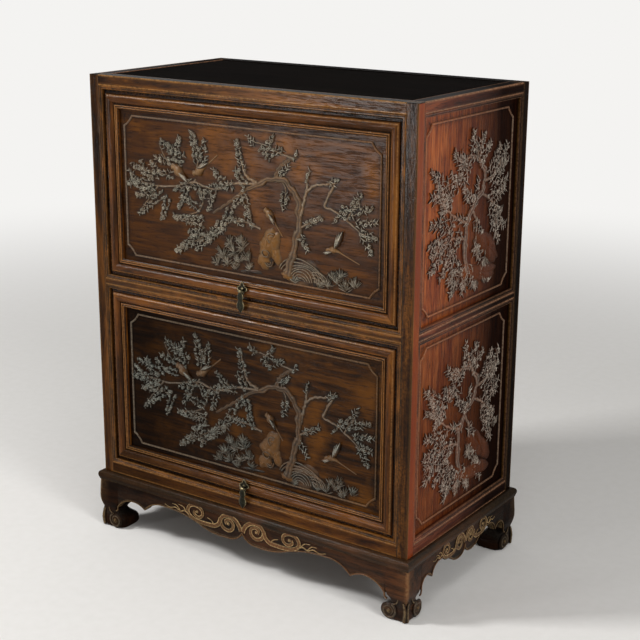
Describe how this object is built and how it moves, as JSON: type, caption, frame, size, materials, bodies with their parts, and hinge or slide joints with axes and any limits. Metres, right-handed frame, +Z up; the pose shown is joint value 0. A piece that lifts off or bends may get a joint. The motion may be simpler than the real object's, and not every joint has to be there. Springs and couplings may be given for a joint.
{
  "type": "sliding door cabinet",
  "caption": "Two-tier wooden cabinet on a scroll-footed stand, with carved inset doors that swing up at the bottom and slide back into the case.",
  "frame": {"origin": "on the floor, below the middle of the case", "axes": "+Z up, the doors face -Y, +X to the right as seen by a person facing the doors"},
  "size_m": [0.618, 0.348, 0.769],
  "materials": {
    "dark_hardwood": "oiled and worn",
    "carved_panel": "carved, patinated",
    "inner_wood": "plain sawn",
    "aged_bronze": "darkened"
  },
  "bodies": {
    "cabinet": {"back_board": "inner_wood", "bottom_board": "inner_wood", "door_rests": "inner_wood", "door_stops": "inner_wood", "front_apron": "dark_hardwood", "front_base_rail": "dark_hardwood", "front_bottom_rail": "dark_hardwood", "front_left_leg": "dark_hardwood", "front_left_post": "dark_hardwood", "front_middle_rail": "dark_hardwood", "front_right_leg": "dark_hardwood", "front_right_post": "dark_hardwood", "front_top_rail": "dark_hardwood", "left_apron": "dark_hardwood", "left_base_rail": "dark_hardwood", "left_bottom_side_rail": "dark_hardwood", "left_lower_door_guide": "inner_wood", "left_lower_side_panel": "carved_panel", "left_middle_side_rail": "dark_hardwood", "left_top_side_rail": "dark_hardwood", "left_upper_door_guide": "inner_wood", "left_upper_side_panel": "carved_panel", "rear_apron": "dark_hardwood", "rear_base_rail": "dark_hardwood", "rear_bottom_rail": "dark_hardwood", "rear_left_leg": "dark_hardwood", "rear_left_post": "dark_hardwood", "rear_right_leg": "dark_hardwood", "rear_right_post": "dark_hardwood", "rear_top_rail": "dark_hardwood", "right_apron": "dark_hardwood", "right_base_rail": "dark_hardwood", "right_bottom_side_rail": "dark_hardwood", "right_lower_door_guide": "inner_wood", "right_lower_side_panel": "carved_panel", "right_middle_side_rail": "dark_hardwood", "right_top_side_rail": "dark_hardwood", "right_upper_door_guide": "inner_wood", "right_upper_side_panel": "carved_panel", "shelf_board": "inner_wood", "top_board": "dark_hardwood"},
    "upper_door_pins": {"upper_door_pivot_pins": "aged_bronze"},
    "upper_door": {"upper_door_bottom_rail": "dark_hardwood", "upper_door_left_stile": "dark_hardwood", "upper_door_panel": "carved_panel", "upper_door_right_stile": "dark_hardwood", "upper_door_top_rail": "dark_hardwood", "upper_pull_plate": "aged_bronze", "upper_pull_staple": "aged_bronze"},
    "upper_pendant": {"upper_pull_pendant": "aged_bronze"},
    "lower_door_pins": {"lower_door_pivot_pins": "aged_bronze"},
    "lower_door": {"lower_door_bottom_rail": "dark_hardwood", "lower_door_left_stile": "dark_hardwood", "lower_door_panel": "carved_panel", "lower_door_right_stile": "dark_hardwood", "lower_door_top_rail": "dark_hardwood", "lower_pull_plate": "aged_bronze", "lower_pull_staple": "aged_bronze"},
    "lower_pendant": {"lower_pull_pendant": "aged_bronze"}
  },
  "joints": [
    {"name": "upper_door_slide", "type": "slide", "parent": "cabinet", "child": "upper_door_pins", "axis": [0, 1, 0], "range_m": [0, 0.232]},
    {"name": "upper_door_swing", "type": "hinge", "parent": "upper_door_pins", "child": "upper_door", "pos_m": [0, -0.151, 0.7254], "axis": [-1, 0, 0], "range_deg": [0, 90]},
    {"name": "upper_pull_swing", "type": "hinge", "parent": "upper_door", "child": "upper_pendant", "pos_m": [0, -0.1708, 0.4635], "axis": [-1, 0, 0], "range_deg": [0, 90]},
    {"name": "lower_door_slide", "type": "slide", "parent": "cabinet", "child": "lower_door_pins", "axis": [0, 1, 0], "range_m": [0, 0.232]},
    {"name": "lower_door_swing", "type": "hinge", "parent": "lower_door_pins", "child": "lower_door", "pos_m": [0, -0.151, 0.4035], "axis": [-1, 0, 0], "range_deg": [0, 90]},
    {"name": "lower_pull_swing", "type": "hinge", "parent": "lower_door", "child": "lower_pendant", "pos_m": [0, -0.1708, 0.1416], "axis": [-1, 0, 0], "range_deg": [0, 90]}
  ],
  "couplings": [
    {"joint": "upper_door_slide", "follows": "upper_door_swing", "m_per_rad": 0.14769},
    {"joint": "lower_door_slide", "follows": "lower_door_swing", "m_per_rad": 0.14769}
  ]
}
